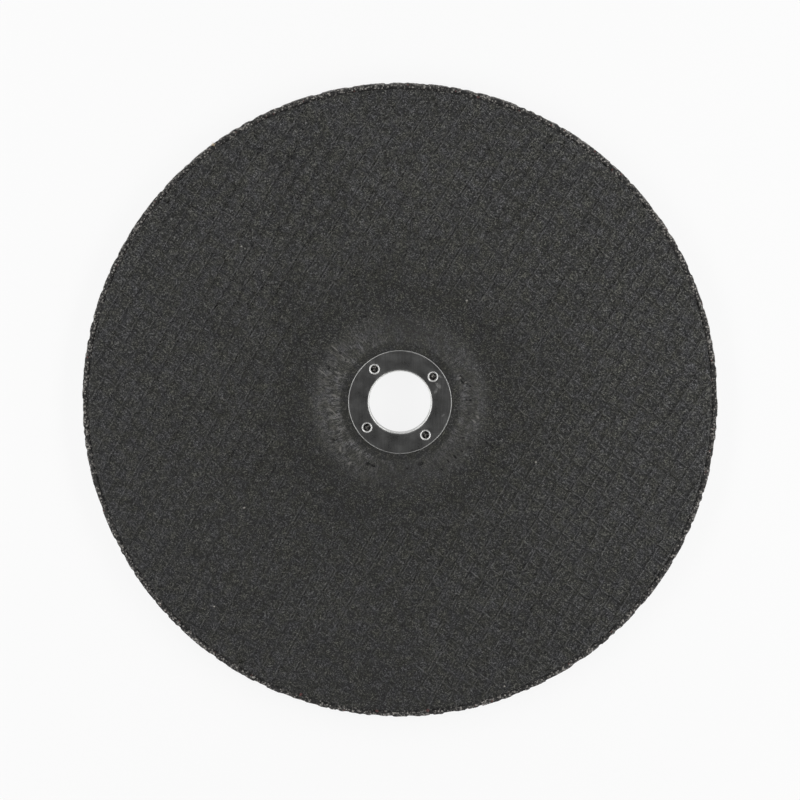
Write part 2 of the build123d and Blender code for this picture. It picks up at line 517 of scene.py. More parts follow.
def ramped(node, value, *ramps, operation="MULTIPLY"):
    """A value times ramps, or plus them. A ramp is a source, two of its values and what it gives at each.
    A place is in metres there."""
    for ramp in ramps:
        value = node("Math", value, node("MapRange", *ramp), operation=operation)
    return value


def layered(node, base, *layers):
    """A colour with others over it. A layer has an amount from 0 to 1 and a colour or its hex code."""
    for amount, over in layers:
        over = colour(over) if isinstance(over, str) else over
        base = node("Mix", amount, base, over, data_type="RGBA")
    return base


def grain(node, place, millimetres, detail=2.0):
    """Noise whose blotches are about as wide as the given size."""
    return node("TexNoise", place, 1 / (millimetres * MM), detail)


# Small marks, in millimetres from the axis: x, y, half length, half width and direction in degrees. In the
# facing there are dark pits, painted near black as the shade in them, bright specks and pale scuffs, on the
# ring only bright scuffs.
PITS = [
    (31.8, -15.4, 3.0, 0.3, -41), (30.9, -21.4, 1.2, 0.3, -32), (33.7, -22.7, 0.8, 0.25, -30),
    (36.4, -23.7, 1.7, 0.2, -32), (25.2, -16.8, 0.8, 0.45, -20), (19.9, -20.1, 1.0, 0.35, -45),
    (28.4, -25.5, 0.9, 0.35, -20), (21.7, 9.3, 0.45, 0.3, 0), (22.4, 7.3, 1.0, 0.3, -50),
    (23.7, 6.9, 0.8, 0.35, -30), (25.3, 5.6, 0.6, 0.3, -40), (22.6, 8.6, 0.5, 0.25, -10),
    (24.0, 0.8, 0.4, 0.25, -30), (25.0, -4.3, 0.45, 0.4, 0), (43.3, 7.0, 0.5, 0.2, -40),
    (47.8, 0.1, 0.35, 0.25, 0), (27.6, -11.9, 0.7, 0.25, -30), (22.9, -13.2, 0.4, 0.3, 0),
    (17.4, -21.6, 0.6, 0.25, -60), (15.1, -24.8, 0.5, 0.3, -40), (22.3, -18.0, 0.5, 0.25, -35),
    (2.6, -24.1, 0.4, 0.3, 0), (29.0, -6.1, 0.4, 0.3, 0), (25.3, 0.5, 0.5, 0.4, 0),
    (7.4, -22.4, 0.9, 0.6, 20), (-11.5, -22.4, 0.8, 0.6, 0), (-9.7, -23.2, 0.9, 0.4, -20),
    (-21.5, 17.5, 0.7, 0.4, 0), (-25.8, 12.1, 0.8, 0.5, 90), (-23.5, -13.9, 1.0, 0.4, 0),
    (-19.5, 15.0, 0.4, 0.4, 0), (-39.1, 73.7, 0.7, 0.5, 0), (34.0, 82.7, 0.7, 0.4, 50),
    (24.9, 77.1, 0.8, 0.4, -20), (68.0, 64.7, 0.7, 0.45, 10), (66.2, 38.5, 0.7, 0.4, 70),
    (-13.2, 30.6, 1.4, 0.35, 5),
]
SPECKS = [
    (24.1, 36.4, 0.35, 0.3, 0), (-57.2, 56.0, 0.3, 0.25, 0), (-56.4, -38.7, 0.35, 0.25, 30),
    (37.9, -103.7, 0.3, 0.25, 0), (-67.3, -74.6, 0.3, 0.25, 0), (49.1, -22.1, 0.3, 0.3, 0),
]
SCUFFS = [
    (21.6, 8.8, 0.4, 0.3, 0), (23.7, 7.0, 0.4, 0.3, 0), (28.1, -5.7, 0.8, 0.35, -45),
    (26.8, -7.2, 0.8, 0.3, -42), (-23.8, 2.3, 0.8, 0.35, -25), (-18.9, 14.6, 0.5, 0.3, 0),
    (-25.0, -3.0, 0.9, 0.3, -30), (-23.8, -3.9, 2.4, 0.22, -45), (-21.6, -17.3, 0.9, 0.4, 90),
    (-18.2, -22.4, 0.8, 0.4, 35), (-28.2, 10.6, 1.8, 0.2, -37), (-23.5, 19.1, 1.5, 0.22, -40),
    (-20.6, 16.2, 0.9, 0.22, -37),
]
RING_SCUFFS = [
    (13.8, 6.0, 1.1, 0.6, -50), (12.9, 3.9, 1.0, 0.35, 65), (-16.8, -6.9, 0.35, 0.2, 60),
    (-12.9, 0.1, 0.2, 0.15, 0), (15.6, -4.8, 0.6, 0.25, 30), (-17.6, 5.6, 0.3, 0.2, 0),
    (14.6, 9.2, 0.8, 0.3, -45),
]


def marks(node, flat, spots):
    """1 on small elliptical marks and 0 away from them: a spherical gradient, 1 less the distance from the
    centre, in coordinates where each mark's ellipse with its soft edge is a unit circle."""
    total = 0.0
    for x, y, length, width, turn in spots:
        size = (length * MM * MARK_REACH, width * MM * MARK_REACH, 1)
        local = node("Mapping", flat, (x * MM, y * MM, 0), (0, 0, radians(turn)), size, vector_type="TEXTURE")
        inside = node("TexGradient", local, gradient_type="SPHERICAL").outputs["Fac"]
        total = node("Math", total, inside, operation="MAXIMUM")
    return node("MapRange", total, 0.0, 0.5, 0.0, 1.0)


def strokes(node, flat, direction, length, width):
    """Noise drawn out along a direction in the plane, in strokes of about the given size."""
    size = (length * MM, width * MM, 1)
    local = node("Mapping", flat, None, (0, 0, direction), size, vector_type="TEXTURE")
    return node("TexNoise", local, 1.0, 1.0)


def facing_material(settings):
    """Glass net and paper soaked in black phenolic resin and hot pressed: matt and gritty in the net's
    openings, smoother on its yarns, which shine where they turn to the light.

    The grit is about 0.1 mm in the real one. It is drawn at 0.32 mm, the smallest that shows at this size.
    The slope of the hub was pressed against a smooth cone, which pulls the resin and the paper's fibres
    outwards and leaves them paler; on its left and right sides they are painted paler still, a painted
    highlight of the side lamps.
    """
    material, node, place = new_material("pressed_black_resin_net")
    flat = node("VectorMath", place, (1.0, 1.0, 0.0), operation="MULTIPLY")
    radius = node("VectorMath", flat, operation="LENGTH")
    across = node("SeparateXYZ", place).outputs["X"]
    coarse, patch, broad = (grain(node, place, size) for size in (1.5, 3.5, 12.0))

    # streaks that run outwards, 42 to a radian, so 0.6 mm wide on the slope, and 2.4 mm long
    outward = node("VectorMath", flat, operation="NORMALIZE")
    outward = node("VectorMath", outward, 42.0, operation="SCALE")
    along = node("Math", radius, 0.42 / MM, operation="MULTIPLY")
    fan = node("VectorMath", outward, node("CombineXYZ", 0.0, 0.0, along), operation="ADD")
    streaks = node("TexNoise", fan, 1.0, 4.0, None, None, 0.8)
    # fibres of the paper, combed along both directions of the net
    fibres = node("Math", strokes(node, flat, settings.warp_direction, 1.6, 0.3),
                  strokes(node, flat, settings.weft_direction, 1.6, 0.3), operation="MAXIMUM")

    # the hub's slope fades out unevenly; its flakes carry a painted highlight, strongest on the left, weaker
    # on the right and faint at the top and bottom
    edge = ramped(node, radius, (patch, 0.3, 0.7, -0.0035, 0.0035), (streaks, 0.35, 0.65, -0.0015, 0.0015),
                  operation="ADD")
    hub = node("MapRange", edge, 0.0265, 0.0345, 1.0, 0.0)
    slope = ramped(node, hub, (radius, 0.0212, 0.0226, 0.0, 1.0))
    pale = node("MapRange", across, -0.026, 0.0, 1.8, 0.15)
    pale = ramped(node, pale, (across, 0.008, 0.024, 0.0, 0.5), operation="ADD")
    pale = ramped(node, pale, (patch, 0.35, 0.65, 0.25, 1.2))

    # the resin lies thicker towards the lower left, where it hides more of the yarns and the grit
    bare = node("VectorMath", place, (0.65, 0.76, 0.0), operation="DOT_PRODUCT")
    yarn = node("Attribute", attribute_name="tint").outputs["Fac"]
    on_yarn = ramped(node, node("MapRange", yarn, 0.4, 0.8, 0.0, 1.0), (radius, 0.036, 0.05, 0.3, 1.0),
                     (bare, -0.08, 0.0, 0.75, 1.0), (broad, 0.35, 0.65, 0.7, 1.0))
    rough_ground = ramped(node, node("MapRange", on_yarn, 0.0, 1.0, 1.0, 0.55), (hub, 0.0, 1.0, 1.0, 0.5),
                          (radius, 0.035, 0.06, 0.8, 1.0), (bare, -0.08, 0.07, 0.68, 1.0))

    # grit, with three random numbers to a grain: a few grains are pale, the lowest dark
    grit = node("TexVoronoi", place, 1 / (GRIT_SIZE * MM)).outputs["Color"]
    pick = node("SeparateColor", grit).outputs
    light = ramped(node, node("Math", pick[0], 4.0, operation="POWER"), (coarse, 0.35, 0.65, 0.85, 1.1))
    light = node("Math", light, rough_ground, operation="MULTIPLY")
    dark = ramped(node, rough_ground, (pick[0], 0.0, 0.45, 1.0, 0.0))
    base = layered(node, settings.resin[:], (dark, "#0c0c0c"), (light, settings.grit[:]))

    # the slope: pale flakes and fibres, painted paler on the left and right as a highlight, with dark gaps
    # between the streaks
    flakes = node("MapRange", streaks, 0.48, 0.62, 0.0, 1.0)
    flakes = node("Math", flakes, node("MapRange", fibres, 0.62, 0.74, 0.0, 1.0), operation="MAXIMUM")
    flakes = node("Math", flakes, pale, operation="MULTIPLY")
    gaps = node("MapRange", streaks, 0.47, 0.36, 0.0, 0.6)
    slope_with_side_light = layered(node, settings.hub_resin[:], (flakes, settings.hub_flakes[:]), (gaps, "#131312"),
                   (node("Math", dark, 0.8, operation="MULTIPLY"), "#121212"), (light, settings.grit[:]))
    base = layered(node, base, (slope, slope_with_side_light))

    # the resin's tone drifts, between warmer and cooler too, and is cooler towards the rim
    shade = ramped(node, node("MapRange", broad, 0.3, 0.7, 0.92, 1.08), (radius, 0.04, 0.08, 0.9, 1.0))
    combed = node("Math", fibres, 0.55, operation="SUBTRACT")
    combed = ramped(node, combed, (radius, 0.04, 0.07, 2.2, 0.8))
    shade = ramped(node, node("Math", shade, combed, operation="ADD"), (radius, 0.021, 0.026, 1.26, 1.0))
    blue = ramped(node, shade, (patch, 0.35, 0.65, 0.89, 1.08), (radius, 0.035, 0.105, 0.995, 1.045))
    tone = node("CombineXYZ", shade, shade, blue)
    base = node("Mix", 1.0, base, tone, data_type="RGBA", blend_type="MULTIPLY")

    # pits, painted near black as the shade in them, and the cut edge of the net, ragged where crumbs of resin
    # are missing and painted dark as a wider shadow of the groove beside it
    cut_edge_shade = node("MapRange", radius, (FACING_RADIUS - 0.8) * MM, (FACING_RADIUS - 0.1) * MM, 0.0, 1.0)
    cut_edge_shade = ramped(node, cut_edge_shade, (grain(node, place, 0.7), 0.5, 0.6, 0.0, 0.9))
    pits = ramped(node, marks(node, flat, PITS), (pick[1], 0.0, 0.6, 0.25, 1.0))
    pits = node("Math", pits, cut_edge_shade, operation="MAXIMUM")
    base = layered(node, base, (pits, "#070707"), (marks(node, flat, SCUFFS), "#6e6c68"),
                   (marks(node, flat, SPECKS), "#a5a29b"))

    rough = ramped(node, node("MapRange", on_yarn, 0.0, 1.0, 0.5, 0.25), (slope, 0.0, 1.0, 0.0, 0.12),
                   (pick[1], 0.0, 1.0, -0.06, 0.06), (pits, 0.0, 1.0, 0.0, 0.4), operation="ADD")
    # heights on both sides of 0, so that a smooth yarn isn't sunk below the grit beside it
    height = ramped(node, node("MapRange", pick[2], 0.0, 1.0, -0.5, 0.5), (coarse, 0.0, 1.0, -0.5, 0.5),
                    operation="ADD")
    height = node("Math", height, rough_ground, operation="MULTIPLY")
    height = ramped(node, height, (on_yarn, 0.0, 1.0, 1.0, 0.25))
    ripple = ramped(node, slope, (streaks, 0.0, 1.0, -0.8, 0.8))
    height = node("Math", height, ripple, operation="ADD")
    height = ramped(node, height, (pits, 0.0, 1.0, 0.0, -0.3), operation="ADD")
    finish_material(node, base, rough, height=height, relief=0.3)
    return material


def abrasive_material(settings):
    """Fused alumina grain in a phenolic bond, moulded and left bare: dark, coarse and broken, each grain
    with a face of its own that is dull or glints, and open pores between them."""
    material, node, place = new_material("moulded_resin_bonded_alumina")
    flat = node("VectorMath", place, (1.0, 1.0, 0.0), operation="MULTIPLY")
    radius = node("VectorMath", flat, operation="LENGTH")
    # the lumps of the shape have the grain's full size, and each shows a face or two, with three random
    # numbers to a face
    cells = node("TexVoronoi", place, FACES_PER_GRAIN / settings.grain_size)
    pick = node("SeparateColor", cells.outputs["Color"]).outputs
    fine = grain(node, place, 0.3, 3.0)
    # painted shade: near black on the groove's sunk floor and in the pores, most of which lie along it, as
    # the shadow in the groove and its voids
    sunk = node("Attribute", attribute_name="tint").outputs["Fac"]
    sunk = ramped(node, sunk, (pick[1], 0.35, 0.6, 1.65, 0.5))
    pore = node("MapRange", pick[1], 0.3, 0.22, 0.0, 1.0)
    pore = ramped(node, pore, (radius, (POCKET_RADIUS + 0.35) * MM, (WHEEL_RADIUS - 0.4) * MM, 1.0, 0.3))
    base = layered(node, settings.bond[:],
                   (node("MapRange", pick[0], 0.42, 0.95, 0.0, 1.45), settings.grain[:]),
                   (node("MapRange", pick[1], 0.988, 0.992, 0.0, 1.0), settings.red_grain[:]),
                   (node("MapRange", cells.outputs["Distance"], 0.35, 0.75, 0.0, 0.85), "#0e0d0d"),
                   (node("MapRange", fine, 0.35, 0.65, 0.35, 0.0), "#1c1b1a"),
                   (node("Math", sunk, pore, operation="MAXIMUM"), "#040404"))
    height = node("MapRange", pick[2], 0.0, 1.0, 0.0, 0.5)
    height = node("Math", height, cells.outputs["Distance"], operation="SUBTRACT")
    height = ramped(node, height, (fine, 0.0, 1.0, 0.0, 0.5), operation="ADD")
    rough = node("MapRange", pick[2], 0.0, 1.0, 0.35, 0.75)
    finish_material(node, base, rough, height=height, relief=0.3)
    return material


def chip_material(settings):
    """Reddish fused alumina, crushed and left bare: dull, darker in its hollows."""
    material, node, place = new_material("crushed_reddish_alumina")
    hollow = node("MapRange", grain(node, place, 0.4), 0.35, 0.65, 0.0, 1.0)
    finish_material(node, layered(node, colour("#3a2424"), (hollow, settings.red_grain[:])), 0.6)
    return material


def fibre_material(settings):
    """Glass yarn, spun and sized, pulled loose: cream, with a silky sheen."""
    material, node, place = new_material("spun_glass_yarn")
    strand = node("MapRange", grain(node, place, 0.3), 0.35, 0.65, 0.0, 1.0)
    finish_material(node, layered(node, colour("#b3a284"), (strand, settings.fibre[:])), 0.4)
    return material


def steel_material(settings):
    """Cold-rolled sheet steel, pressed and barrel finished: dull and even, with faint rolling lines and a
    few scuffs that catch the light."""
    material, node, place = new_material("pressed_sheet_steel")
    flat = node("VectorMath", place, (1.0, 1.0, 0.0), operation="MULTIPLY")
    # rolling lines, 2.6 to the millimetre and 11 mm long
    lines = node("Mapping", place, None, None, (2.6 / MM, 0.09 / MM, 0.09 / MM))
    lines = node("TexNoise", lines, 1.0, 2.0)
    cloud, fine = grain(node, place, 5.0, 3.0), grain(node, place, 0.35)
    tone = ramped(node, node("MapRange", lines, 0.3, 0.7, 0.88, 1.08), (cloud, 0.3, 0.7, 0.9, 1.1),
                  (fine, 0.3, 0.7, 0.88, 1.12))
    burnished = node("Attribute", attribute_name="tint").outputs["Fac"]
    scuffs = ramped(node, marks(node, flat, RING_SCUFFS), (fine, 0.4, 0.6, 0.05, 0.6))
    base = layered(node, settings.steel[:], (burnished, settings.burnished[:]))
    base = node("Mix", 1.0, base, tone, data_type="RGBA", blend_type="MULTIPLY")
    base = layered(node, base, (scuffs, settings.burnished[:]))
    rough = ramped(node, node("MapRange", cloud, 0.3, 0.7, 0.28, 0.37), (fine, 0.3, 0.7, -0.03, 0.03),
                   (burnished, 0.0, 1.0, 0.0, 0.12), (scuffs, 0.0, 1.0, 0.0, 0.25), operation="ADD")
    height = ramped(node, node("MapRange", lines, 0.0, 1.0, 0.0, 0.5), (fine, 0.0, 1.0, 0.0, 0.5),
                    operation="ADD")
    finish_material(node, base, rough, metallic=1.0, height=height, relief=0.012)
    return material


# ---------------------------------------------------------------- pieces

class DISC_OT_net_facing(bpy.types.Operator):
    """Make the black net facing with its yarns and the slope of the hub"""
    bl_idname = "disc.net_facing"
    bl_label = "Net Facing"

    def execute(self, context):
        settings = context.scene.disc_net
        shell = Shell()
        # the flat under the ring, with its bore and the holes that the ring's lips go through
        glue_z = HUB_Z - FACING_THICKNESS
        bore = shell.ring(FACING_BORE, glue_z, 96)
        bore_top = shell.sweep(bore, [(FACING_BORE, CLAMPED_Z)])[-1]
        step_foot = shell.ring(FACING_STEP, CLAMPED_Z, 320)
        step_under = shell.ring(FACING_STEP, glue_z, 96)
        over = [(bore_top, (0, 0), FACING_BORE, -1), (step_foot, (0, 0), FACING_STEP, 1)]
        under = [(bore, (0, 0), FACING_BORE, -1), (step_under, (0, 0), FACING_STEP, 1)]
        for centre in stake_centres():
            low = shell.ring(PIT_RADIUS, glue_z, 24, centre)
            high = shell.sweep(low, [(PIT_RADIUS, CLAMPED_Z)], centre)[-1]
            over.append((high, centre, PIT_RADIUS, -1))
            under.append((low, centre, PIT_RADIUS, -1))
        plan = square_grid(FACING_STEP, PLATEAU_GRID)
        shell.sheet(plan, CLAMPED_Z, over, clearance=0.2)
        shell.sheet(plan, glue_z, under, clearance=0.2, up=False)

        def pressed(angle, radius, height):
            """Low radial ripples of the paper, 0.09 mm times a noise, which fade in past the plateau."""
            ripple = noise_round(angle, 150, radius / 5, RIPPLE_SEED, 0) - 0.5
            return 0 * radius, 0.09 * ripple * ease(HUB_TOP_RADIUS, 24, radius)

        # the step round the ring, the plateau and the slope
        face = rounded_line(dish_corners(0, FACING_STEP, NET_START), [HUB_EDGE_FILLET, HUB_FOOT_FILLET],
                            step=0.62)
        foot = shell.sweep(step_foot, face, relief=pressed)[-1]
        # the net, with samples across each yarn: the ground beside it, its foot, its top's edge and middle
        warp_samples, weft_samples = ([-ground, -half, flank - half, 0.0, half - flank, half, ground]
                                      for ground, half, flank in ((1.7, WARP_HALF, WARP_FLANK),
                                                                  (1.5, WEFT_HALF, WEFT_FLANK)))
        plan, height, cover = net(settings, warp_samples, weft_samples, NET_SEED)
        radius = np.linalg.norm(plan, axis=-1)
        angle = np.arctan2(plan[..., 1], plan[..., 0])
        # the net lies nearer the surface towards the right than towards the lower left
        depth = (0.94 + 0.06 * np.cos(angle - radians(20))) * ease(NET_START, NET_START + 10, radius)
        depth *= ease(FACING_RADIUS - 0.4, FACING_RADIUS - 1.6, radius)
        depth *= 0.75 + 0.45 * noise(plan[..., 0] / 13, plan[..., 1] / 13, RESIN_SEED)
        grit = 0.05 * (np.random.default_rng(GRIT_SEED).random(height.shape) - 0.5)
        grit *= ease(NET_START, NET_START + 2, radius) * (1 - 0.8 * cover)
        edge_radius = FACING_RADIUS - CUT_WIDTH
        edge = shell.ring(edge_radius, FACE_Z, 1100)
        rims = [(foot, (0, 0), NET_START, -1), (edge, (0, 0), edge_radius, 1)]
        shell.sheet(plan, FACE_Z + height * depth + grit, rims, clearance=0.25, tint=cover)

        def ragged(angle, radius, height):
            """The cut edge of the net, which falls short by 0.3 mm times a noise."""
            cut = noise_round(angle, 700, radius * 0, CUT_SEED, 0)
            return -0.3 * cut * (radius > FACING_RADIUS - 0.2), 0 * height

        # the cut edge, and the underside, which is never seen, in fewer points
        low = FACE_Z - FACING_THICKNESS
        side = shell.sweep(edge, [(FACING_RADIUS - 0.15, FACE_Z - 0.03), (FACING_RADIUS, FACE_Z - 0.15),
                                  (FACING_RADIUS, low)], relief=ragged)[-1]
        coarse = shell.ring(FACING_RADIUS - 2, low, 96)
        shell.strip(side, coarse)
        glue = dish_corners(FACING_THICKNESS, FACING_STEP, FACING_RADIUS)
        shell.sweep(coarse, [glue[2], glue[1]], last=step_under)
        shell.piece("net_facing_pressed", "net_facing", "facing", facing_material(settings), sharp=15.0)
        return {"FINISHED"}


class DISC_OT_abrasive_body(bpy.types.Operator):
    """Make the moulded abrasive body with its broken rim and the imprint of the net underneath"""
    bl_idname = "disc.abrasive_body"
    bl_label = "Abrasive Body"

    def execute(self, context):
        settings = context.scene.disc_abrasive
        shell = Shell()
        # the bore and the seat of the facing, with the abrasive that fills the ring's lips
        bore = shell.ring(WHEEL_BORE, HUB_OFFSET, 180)
        chamfer_z = SEAT_Z - (FACING_BORE - WHEEL_BORE)
        chamfer = [(WHEEL_BORE, HUB_OFFSET + 0.3), (WHEEL_BORE, chamfer_z), (FACING_BORE, SEAT_Z)]
        seat_in = shell.sweep(bore, chamfer)[-1]
        pocket = dish_corners(POCKET_DEPTH, FACING_BORE, POCKET_RADIUS)
        seat_out = shell.ring(pocket[1][0], SEAT_Z, 96)
        rims = [(seat_in, (0, 0), FACING_BORE, -1), (seat_out, (0, 0), pocket[1][0], 1)]
        for centre in stake_centres():
            top = shell.ring(0.4, SEAT_Z - 0.12, 24, centre)
            shell.cap(top, SEAT_Z - 0.08, centre)
            pit = [(0.7, SEAT_Z - 0.2), (0.95, SEAT_Z - 0.36), (1.15, SEAT_Z - 0.6),
                   (PLUG_RADIUS, PIT_FLOOR_Z), (PIT_RADIUS, PIT_FLOOR_Z), (PIT_RADIUS, SEAT_Z)]
            rims.append((shell.sweep(top, pit, centre)[-1], centre, PIT_RADIUS, -1))
        shell.sheet(square_grid(pocket[1][0], SEAT_GRID), SEAT_Z, rims, clearance=0.22)
        groove_start = shell.sweep(seat_out, [pocket[2], (POCKET_RADIUS - 2.25, pocket[2][1])])[-1]

        size = settings.grain_size / MM
        depth = settings.rim_roughness / MM
        cells = int(2 * pi * WHEEL_RADIUS / size)

        def broken(angle, radius, height):
            """Grains stand out by random amounts: the rim sinks by its roughness times 0.55 of a noise of
            whole grains and 0.3 of one of half grains, plus 1 in notches where crumbs have broken away."""
            down = (WHEEL_RADIUS - radius) + (FACE_Z - height)
            coarse = noise_round(angle, cells, down / size, RIM_SEED)
            fine = noise_round(angle, cells * 2, down / size * 2, CRUMB_SEED)
            notch = ease(0.45, 0.85, noise_round(angle, 440, down / 9, NOTCH_SEED))
            sink = depth * (0.55 * coarse + 0.3 * fine + notch)
            wall = ease(WHEEL_RADIUS - 0.5, WHEEL_RADIUS - 0.15, radius)
            top = np.where(height > FACE_Z / 2, -1.0, 1.0) * (1 - wall)
            inward = sink * np.where(radius > POCKET_RADIUS + 0.1, np.maximum(wall, 0.2), 0.0)
            return -inward, sink * 0.6 * top

        def filled(angle, radius, height):
            """Resin and dust fill the groove in places: its floor rises by 0.4 mm there, and by up to
            0.12 mm from grain to grain."""
            rise = 0.4 * ease(0.45, 0.8, noise_round(angle, 240, radius * 0, FILL_SEED))
            return 0 * radius, rise + 0.12 * noise_round(angle, cells, radius * 0, DUST_SEED)

        # the groove's floor, and the bare rim from its inner edge round to the working side
        groove_z = FACE_Z - POCKET_DEPTH
        groove = shell.ring(POCKET_RADIUS - 0.75, groove_z, 1600)
        shell.strip(groove_start, groove)
        # tint 0.6 marks the groove's floor, which the material paints dark as its shade
        floor = shell.sweep(groove, [(POCKET_RADIUS - 0.4, groove_z), (POCKET_RADIUS - 0.1, groove_z)],
                            relief=filled, tint=0.6)[-1]
        section = [(POCKET_RADIUS, FACE_Z - 0.12)]
        section += [(POCKET_RADIUS + out, FACE_Z) for out in (0.2, 0.6, 1.0, 1.35)]
        section += [(WHEEL_RADIUS - 0.12, FACE_Z - 0.14), (WHEEL_RADIUS, FACE_Z - 0.45)]
        section += [(WHEEL_RADIUS, z) for z in np.linspace(FACE_Z - 0.95, 0.95, 9)]
        section += [(WHEEL_RADIUS, 0.45), (WHEEL_RADIUS - 0.12, 0.14)]
        section += [(WHEEL_RADIUS - back, 0.0) for back in (0.5, 1.0, 1.6)]
        low = shell.sweep(floor, section, relief=broken)[-1]

        # the working face lies deeper by the imprint, whose yarns come down almost to the CAD's face
        edge_radius = WHEEL_RADIUS - 3.4
        flat_edge = shell.sweep(low, [(edge_radius + 1.0, IMPRINT_DEPTH), (edge_radius, IMPRINT_DEPTH)])[-1]
        mouth = shell.ring(NET_START, IMPRINT_DEPTH, 300)
        rims = [(flat_edge, (0, 0), edge_radius, 1), (mouth, (0, 0), NET_START, -1)]
        samples = np.array([-1.75, -0.8, 0.0, 0.8, 1.75])
        plan, height, _ = net(context.scene.disc_net, samples, samples * 0.92, IMPRINT_SEED)
        radius = np.linalg.norm(plan, axis=-1)
        height = np.minimum(height, IMPRINT_DEPTH - 0.01) * ease(NET_START, NET_START + 4, radius)
        height *= ease(edge_radius - 0.2, edge_radius - 2.1, radius)
        shell.sheet(plan, IMPRINT_DEPTH - height, rims, clearance=0.35, up=False)
        recess = rounded_line([(NET_START, IMPRINT_DEPTH), (HUB_FOOT_RADIUS, IMPRINT_DEPTH),
                               (HUB_TOP_RADIUS, HUB_OFFSET), (WHEEL_BORE, HUB_OFFSET)],
                              [RECESS_MOUTH_FILLET, RECESS_FLOOR_FILLET], step=0.8)
        last = shell.sweep(mouth, recess[1:-1])[-1]
        shell.strip(last, bore)
        material = abrasive_material(settings)
        shell.piece("abrasive_body_moulded", "abrasive_wheel", "abrasive", material, sharp=55.0)
        return {"FINISHED"}


class DISC_OT_centre_ring(bpy.types.Operator):
    """Make the pressed steel centre ring with its rolled bend and four drawn staking holes"""
    bl_idname = "disc.centre_ring"
    bl_label = "Centre Ring"

    def execute(self, context):
        settings = context.scene.disc_ring
        shell = Shell()
        # both sides of the quarter turn from the collar into the flange
        turn = np.radians(np.linspace(0, 90, 9))
        inside = np.stack([BORE_RADIUS + RING_BEND * (1 - np.cos(turn)),
                           RING_TOP_Z - RING_BEND * (1 - np.sin(turn))], axis=-1)
        under_z = RING_TOP_Z - RING_SHEET
        small_bend = RING_BEND - RING_SHEET
        outside = np.stack([BORE_RADIUS + RING_BEND - small_bend * np.sin(turn[1:]),
                            under_z - small_bend * (1 - np.cos(turn[1:]))], axis=-1)
        start = shell.ring(BORE_RADIUS, COLLAR_END_Z + 0.1, 256)
        polish = np.interp(np.degrees(turn), [0, 10, 60, 75, 90], [0.3, 1, 1, 0.5, 0.3])
        top_in = shell.sweep(start, inside, tint=polish[:, None])[-1]
        top_out = shell.ring(RING_RADIUS - EDGE_WIDTH, RING_TOP_Z, 360)
        under_out = shell.sweep(top_out, [
            (RING_RADIUS - 0.2, RING_TOP_Z - 0.02), (RING_RADIUS - 0.03, RING_TOP_Z - 0.2),
            (RING_RADIUS, RING_TOP_Z - 0.27), (RING_RADIUS, under_z + 0.06),
            (RING_RADIUS - 0.06, under_z)], tint=np.array([[0.6, 0.6, 0.3, 0, 0]]).T)[-1]
        under_in = shell.ring(BORE_RADIUS + RING_BEND, under_z, 256)
        # the flange between its rims, which at each staking hole is drawn down into a lip
        over = [(top_in, (0, 0), BORE_RADIUS + RING_BEND, -1),
                (top_out, (0, 0), RING_RADIUS - EDGE_WIDTH, 1)]
        under = [(under_out, (0, 0), RING_RADIUS - 0.06, 1),
                 (under_in, (0, 0), BORE_RADIUS + RING_BEND, -1)]
        for centre in stake_centres():
            foot = shell.ring(STAKE_MOUTH, under_z, 48, centre)
            outer = STAKE_HOLE + STAKE_WALL
            lip = [(outer + 0.15, under_z - 0.04), (outer, under_z - 0.2), (outer, STAKE_END_Z + 0.05),
                   (outer - 0.05, STAKE_END_Z), (STAKE_HOLE + 0.05, STAKE_END_Z),
                   (STAKE_HOLE, STAKE_END_Z + 0.05), (STAKE_HOLE, under_z - 0.1)]
            lip += [(STAKE_HOLE + 0.08, under_z + 0.1), (STAKE_MOUTH - 0.2, RING_TOP_Z - 0.06),
                    (STAKE_MOUTH - 0.1, RING_TOP_Z - 0.012), (STAKE_MOUTH, RING_TOP_Z)]
            burnished = np.append(np.zeros(7), [0.9, 1, 1, 0.2])[:, None]
            mouth = shell.sweep(foot, lip, centre, tint=burnished)[-1]
            over.append((mouth, centre, STAKE_MOUTH, -1))
            under.append((foot, centre, STAKE_MOUTH, -1))
        plan = square_grid(RING_RADIUS, RING_GRID)
        shell.sheet(plan, RING_TOP_Z, over, clearance=0.14)
        shell.sheet(plan, under_z, under, clearance=0.14, up=False)
        collar = [(BORE_RADIUS + RING_SHEET, COLLAR_END_Z + 0.1),
                  (BORE_RADIUS + RING_SHEET - 0.1, COLLAR_END_Z), (BORE_RADIUS + 0.1, COLLAR_END_Z)]
        shell.sweep(under_in, [*outside, *collar], last=start)
        shell.piece("centre_ring_pressed", "centre_ring", "ring_steel", steel_material(settings), sharp=40.0)
        return {"FINISHED"}


